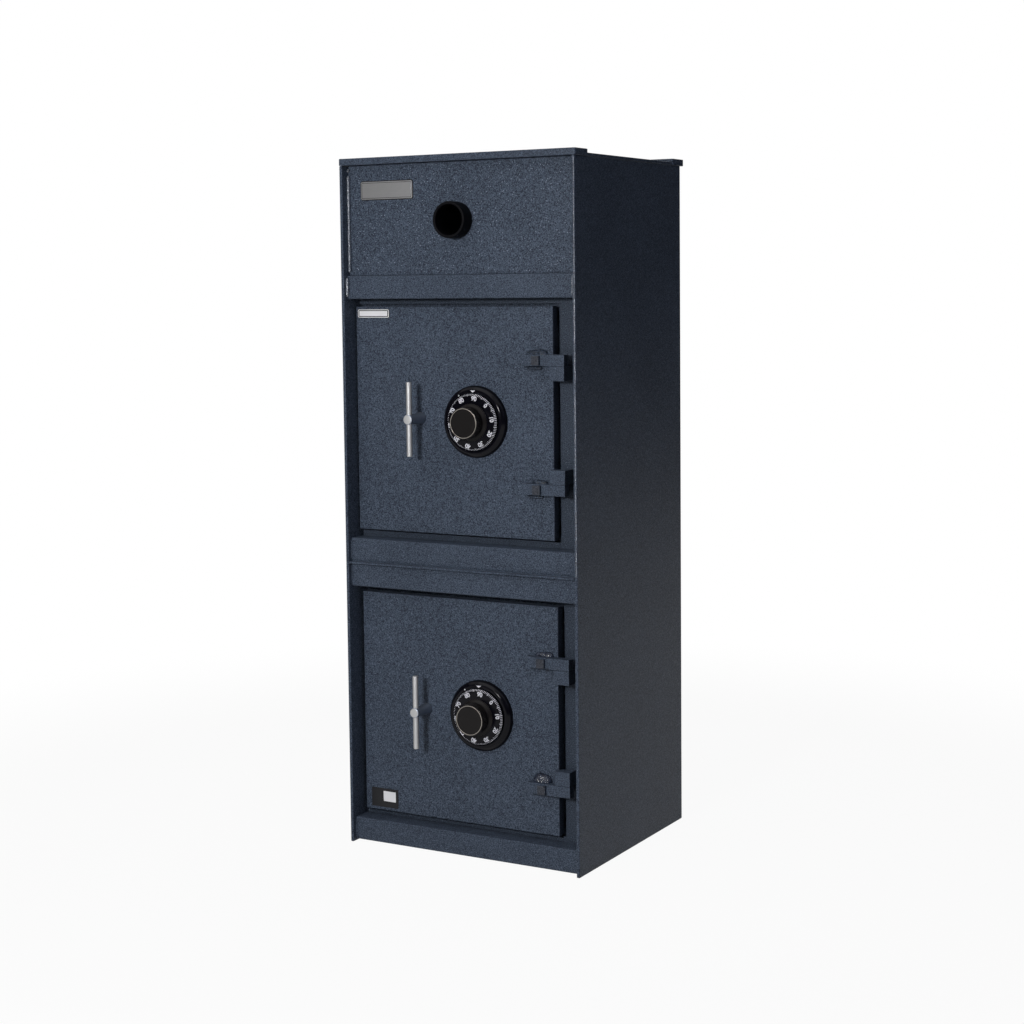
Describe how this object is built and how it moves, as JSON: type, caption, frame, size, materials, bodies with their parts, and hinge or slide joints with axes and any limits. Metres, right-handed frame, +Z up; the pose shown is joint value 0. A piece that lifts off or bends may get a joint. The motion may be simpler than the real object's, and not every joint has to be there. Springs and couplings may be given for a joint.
{
  "type": "deposit safe",
  "caption": "Tall steel deposit safe with a round drop opening, stacked hinged doors, T-handles, dials, sliding locking bolts and a baffled chute.",
  "frame": {"origin": "on the floor, under the middle of the overall box with doors closed and handles upright", "axes": "+Z up, +X to the right of someone facing the doors, +Y from the doors towards the back"},
  "size_m": [0.3794, 0.356, 0.99],
  "materials": {
    "cabinet_paint": "fine speckled dark grey powder coat",
    "black_plastic": "moulded black plastic",
    "dial_black": "glossy black with white graduations",
    "stainless": "turned and polished stainless steel",
    "bright_steel": "bright drawn steel",
    "zinc_plate": "zinc plated pressed steel",
    "lock_brass": "machined brass"
  },
  "bodies": {
    "cabinet": {"left_side_wall": "cabinet_paint", "right_side_wall": "cabinet_paint", "back_panel": "cabinet_paint", "floor_plate": "cabinet_paint", "front_top_bar": "cabinet_paint", "rear_top_bar": "cabinet_paint", "top_plate": "cabinet_paint", "header_rail": "cabinet_paint", "middle_rail_upper": "cabinet_paint", "middle_rail_lower": "cabinet_paint", "bottom_rail": "cabinet_paint", "divider_plate": "cabinet_paint", "header_panel": "cabinet_paint", "drop_chute": "cabinet_paint", "toothed_baffle": "cabinet_paint", "drop_tube": "black_plastic", "upper_door_frame": "cabinet_paint", "upper_door_stop": "cabinet_paint", "upper_hinge_block_top": "cabinet_paint", "upper_hinge_block_bottom": "cabinet_paint", "lower_door_frame": "cabinet_paint", "lower_door_stop": "cabinet_paint", "lower_hinge_block_top": "cabinet_paint", "lower_hinge_block_bottom": "cabinet_paint"},
    "upper_door": {"upper_door_plate": "cabinet_paint", "upper_inner_plate": "cabinet_paint", "upper_jamb_hook_bar": "cabinet_paint", "upper_hinge_strap_top": "cabinet_paint", "upper_hinge_strap_bottom": "cabinet_paint", "upper_bolt_guide": "zinc_plate", "upper_lock_case": "zinc_plate", "upper_lock_cover": "zinc_plate", "upper_dial_ring": "dial_black"},
    "upper_handle": {"upper_handle_shank": "stainless", "upper_handle_crossbar": "stainless", "upper_handle_crank": "zinc_plate"},
    "upper_boltwork": {"upper_bolt_carrier": "zinc_plate", "upper_locking_bolt_top": "bright_steel", "upper_locking_bolt_bottom": "bright_steel"},
    "upper_dial": {"upper_dial": "dial_black", "upper_spindle_and_cam": "lock_brass"},
    "upper_lock_bolt": {"upper_lock_bolt": "lock_brass"},
    "lower_door": {"lower_door_plate": "cabinet_paint", "lower_inner_plate": "cabinet_paint", "lower_jamb_hook_bar": "cabinet_paint", "lower_hinge_strap_top": "cabinet_paint", "lower_hinge_strap_bottom": "cabinet_paint", "lower_bolt_guide": "zinc_plate", "lower_lock_case": "zinc_plate", "lower_lock_cover": "zinc_plate", "lower_dial_ring": "dial_black"},
    "lower_handle": {"lower_handle_shank": "stainless", "lower_handle_crossbar": "stainless", "lower_handle_crank": "zinc_plate"},
    "lower_boltwork": {"lower_bolt_carrier": "zinc_plate", "lower_locking_bolt_top": "bright_steel", "lower_locking_bolt_bottom": "bright_steel"},
    "lower_dial": {"lower_dial": "dial_black", "lower_spindle_and_cam": "lock_brass"},
    "lower_lock_bolt": {"lower_lock_bolt": "lock_brass"}
  },
  "joints": [
    {"name": "upper_door_swing", "type": "hinge", "parent": "cabinet", "child": "upper_door", "pos_m": [0.1461, -0.1485, 0.6192], "axis": [0, 0, 1], "range_deg": [0, 120]},
    {"name": "upper_handle_turn", "type": "hinge", "parent": "upper_door", "child": "upper_handle", "pos_m": [-0.07355, -0.168, 0.6222], "axis": [0, 1, 0], "range_deg": [0, 90]},
    {"name": "upper_bolt_slide", "type": "slide", "parent": "upper_door", "child": "upper_boltwork", "axis": [-1, 0, 0], "range_m": [0, 0.0184]},
    {"name": "upper_dial_spin", "type": "hinge", "parent": "upper_door", "child": "upper_dial", "pos_m": [0.01755, -0.168, 0.6194], "axis": [0, 1, 0], "continuous": true},
    {"name": "upper_lock_bolt_slide", "type": "slide", "parent": "upper_door", "child": "upper_lock_bolt", "axis": [0, 0, 1], "range_m": [0, 0.0095]},
    {"name": "lower_door_swing", "type": "hinge", "parent": "cabinet", "child": "lower_door", "pos_m": [0.1499, -0.1485, 0.2063], "axis": [0, 0, 1], "range_deg": [0, 120]},
    {"name": "lower_handle_turn", "type": "hinge", "parent": "lower_door", "child": "lower_handle", "pos_m": [-0.06975, -0.168, 0.2046], "axis": [0, 1, 0], "range_deg": [0, 90]},
    {"name": "lower_bolt_slide", "type": "slide", "parent": "lower_door", "child": "lower_boltwork", "axis": [-1, 0, 0], "range_m": [0, 0.0184]},
    {"name": "lower_dial_spin", "type": "hinge", "parent": "lower_door", "child": "lower_dial", "pos_m": [0.02135, -0.168, 0.2036], "axis": [0, 1, 0], "continuous": true},
    {"name": "lower_lock_bolt_slide", "type": "slide", "parent": "lower_door", "child": "lower_lock_bolt", "axis": [0, 0, 1], "range_m": [0, 0.0095]}
  ],
  "couplings": [
    {"joint": "upper_bolt_slide", "follows": "upper_handle_turn", "m_per_rad": 0.011704},
    {"joint": "lower_bolt_slide", "follows": "lower_handle_turn", "m_per_rad": 0.011704}
  ]
}
